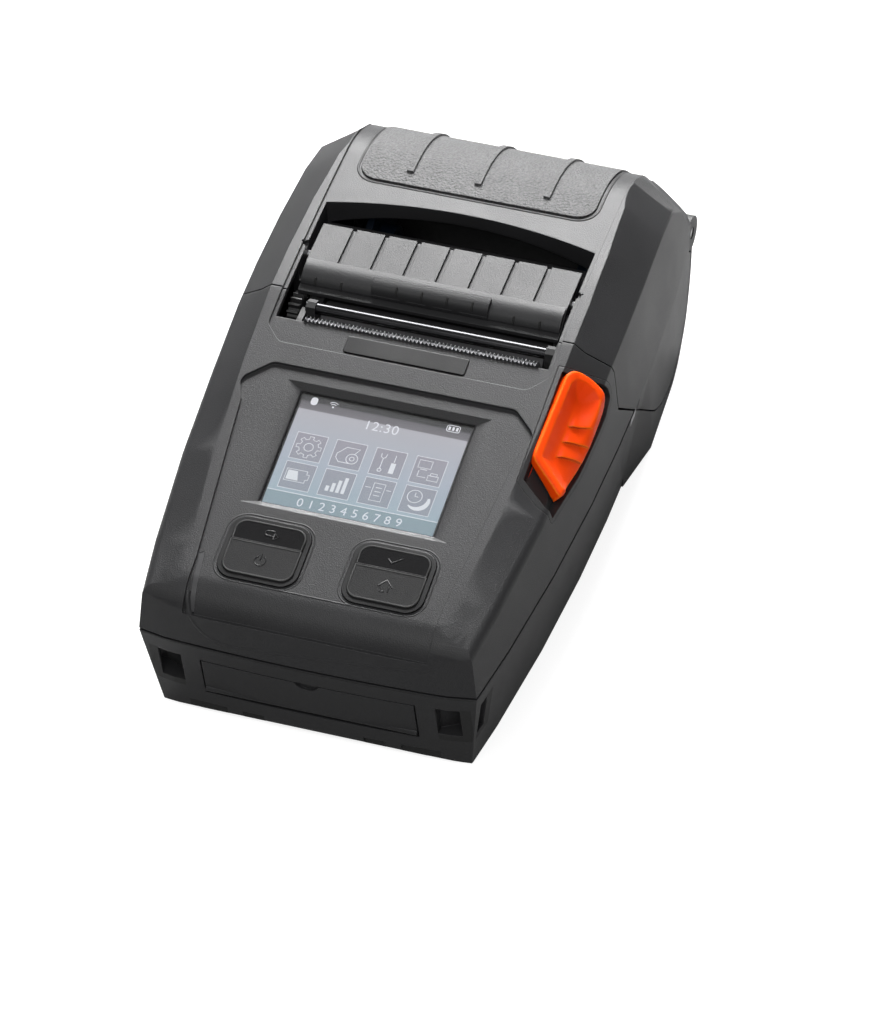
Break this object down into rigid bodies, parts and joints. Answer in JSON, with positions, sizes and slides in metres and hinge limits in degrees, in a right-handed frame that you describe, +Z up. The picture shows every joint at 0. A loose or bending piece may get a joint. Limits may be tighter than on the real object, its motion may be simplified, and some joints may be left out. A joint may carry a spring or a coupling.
{
  "type": "portable label printer",
  "caption": "Portable label printer with a clamshell roll cover, thermal print unit, colour display, rubber keys, tipping peeler flap, sliding latch lever and a drop-down port door",
  "frame": {"origin": "on the floor under the middle of the body's bounding box", "axes": "+X to the right as the user faces the display, +Y to the rear (roll bay and cover hinge), +Z up; the body's length runs along Y"},
  "size_m": [0.1046, 0.1839, 0.0635],
  "materials": {
    "shell_black": "fine textured",
    "shell_dark": "fine textured",
    "gloss_black": "glossy",
    "grip_grey": "coarse sandy",
    "lever_orange": "satin",
    "key_rubber": "matte",
    "window_glass": "clear",
    "lcd": "smooth",
    "steel": "brushed",
    "bright_steel": "polished",
    "platen_rubber": "smooth",
    "gear_white": "moulded",
    "heat_sink_aluminium": "satin",
    "head_ceramic": "glazed",
    "board_green": "solder resist",
    "connector_black": "moulded",
    "light_clear": "translucent",
    "guide_blue": "moulded"
  },
  "bodies": {
    "body": {"base_shell": "shell_dark", "top_case": "shell_black", "latch_bezel": "gloss_black", "display_window": "window_glass", "lcd_panel": "lcd", "key_frames": "gloss_black", "keypad_board": "board_green", "status_light": "light_clear", "name_plate": "gloss_black", "tear_bar": "steel", "idler_pin": "steel", "drive_motor": "steel", "mechanism_frame": "steel", "print_head": "head_ceramic", "heat_sink": "heat_sink_aluminium", "head_springs": "bright_steel", "paper_ramp": "shell_dark", "frame_screws": "steel", "case_screws": "steel", "guide_rod": "bright_steel", "battery_pack": "connector_black", "main_board": "board_green", "port_board": "board_green", "usb_port": "steel", "power_jack": "connector_black", "hinge_pin": "steel"},
    "cover": {"roll_cover": "shell_black", "grip_panel": "grip_grey", "cover_strike": "steel", "peel_bar": "bright_steel", "flap_pins": "steel", "platen_carrier": "steel", "platen_bushes": "connector_black"},
    "platen": {"platen_roller": "platen_rubber", "platen_shaft": "bright_steel", "platen_gear": "gear_white"},
    "idler": {"idler_gear": "gear_white"},
    "pinion": {"motor_pinion": "steel"},
    "flap": {"peeler_flap": "shell_black"},
    "lever": {"latch_lever": "lever_orange"},
    "door": {"interface_door": "shell_dark"},
    "key_1": {"key_left_upper": "key_rubber"},
    "key_2": {"key_left_lower": "key_rubber"},
    "key_3": {"key_right_upper": "key_rubber"},
    "key_4": {"key_right_lower": "key_rubber"},
    "guide_l": {"guide_left": "guide_blue"},
    "guide_r": {"guide_right": "guide_blue"},
    "guide_gear": {"guide_pinion": "gear_white"}
  },
  "joints": [
    {"name": "cover_hinge", "type": "hinge", "parent": "body", "child": "cover", "pos_m": [0, 0.0872, 0.0282], "axis": [-1, 0, 0], "range_deg": [0, 95]},
    {"name": "platen_spin", "type": "hinge", "parent": "cover", "child": "platen", "pos_m": [0.0027, 0.0082, 0.049], "axis": [1, 0, 0], "continuous": true},
    {"name": "idler_spin", "type": "hinge", "parent": "body", "child": "idler", "pos_m": [-0.0348, 0.00402, 0.03522], "axis": [1, 0, 0], "continuous": true},
    {"name": "pinion_spin", "type": "hinge", "parent": "body", "child": "pinion", "pos_m": [-0.0348, -0.00798, 0.03522], "axis": [1, 0, 0], "continuous": true},
    {"name": "flap_pivot", "type": "hinge", "parent": "cover", "child": "flap", "pos_m": [0, 0.0228, 0.0575], "axis": [-1, 0, 0], "range_deg": [0, 70]},
    {"name": "latch_slide", "type": "slide", "parent": "body", "child": "lever", "axis": [0, -0.9903, -0.1392], "range_m": [0, 0.004], "stiffness_N_per_m": 400},
    {"name": "door_hinge", "type": "hinge", "parent": "body", "child": "door", "pos_m": [0, -0.08853, 0.0106], "axis": [1, 0, 0], "range_deg": [0, 100]},
    {"name": "key_1_press", "type": "slide", "parent": "body", "child": "key_1", "axis": [0, 0.1822, -0.9833], "range_m": [0, 0.0008], "stiffness_N_per_m": 1500},
    {"name": "key_2_press", "type": "slide", "parent": "body", "child": "key_2", "axis": [0, 0.1822, -0.9833], "range_m": [0, 0.0008], "stiffness_N_per_m": 1500},
    {"name": "key_3_press", "type": "slide", "parent": "body", "child": "key_3", "axis": [0, 0.1822, -0.9833], "range_m": [0, 0.0008], "stiffness_N_per_m": 1500},
    {"name": "key_4_press", "type": "slide", "parent": "body", "child": "key_4", "axis": [0, 0.1822, -0.9833], "range_m": [0, 0.0008], "stiffness_N_per_m": 1500},
    {"name": "guide_left_slide", "type": "slide", "parent": "body", "child": "guide_l", "axis": [1, 0, 0], "range_m": [0, 0.016]},
    {"name": "guide_right_slide", "type": "slide", "parent": "body", "child": "guide_r", "axis": [1, 0, 0], "range_m": [-0.016, 0]},
    {"name": "guide_pinion_spin", "type": "hinge", "parent": "body", "child": "guide_gear", "pos_m": [0, 0.0155, 0.012], "axis": [0, 1, 0], "range_deg": [-4, 208]}
  ],
  "couplings": [
    {"joint": "idler_spin", "follows": "platen_spin", "ratio": -0.71429},
    {"joint": "pinion_spin", "follows": "platen_spin", "ratio": 1.6667},
    {"joint": "guide_right_slide", "follows": "guide_left_slide", "ratio": -1},
    {"joint": "guide_pinion_spin", "follows": "guide_left_slide", "rad_per_m": 222.22}
  ]
}
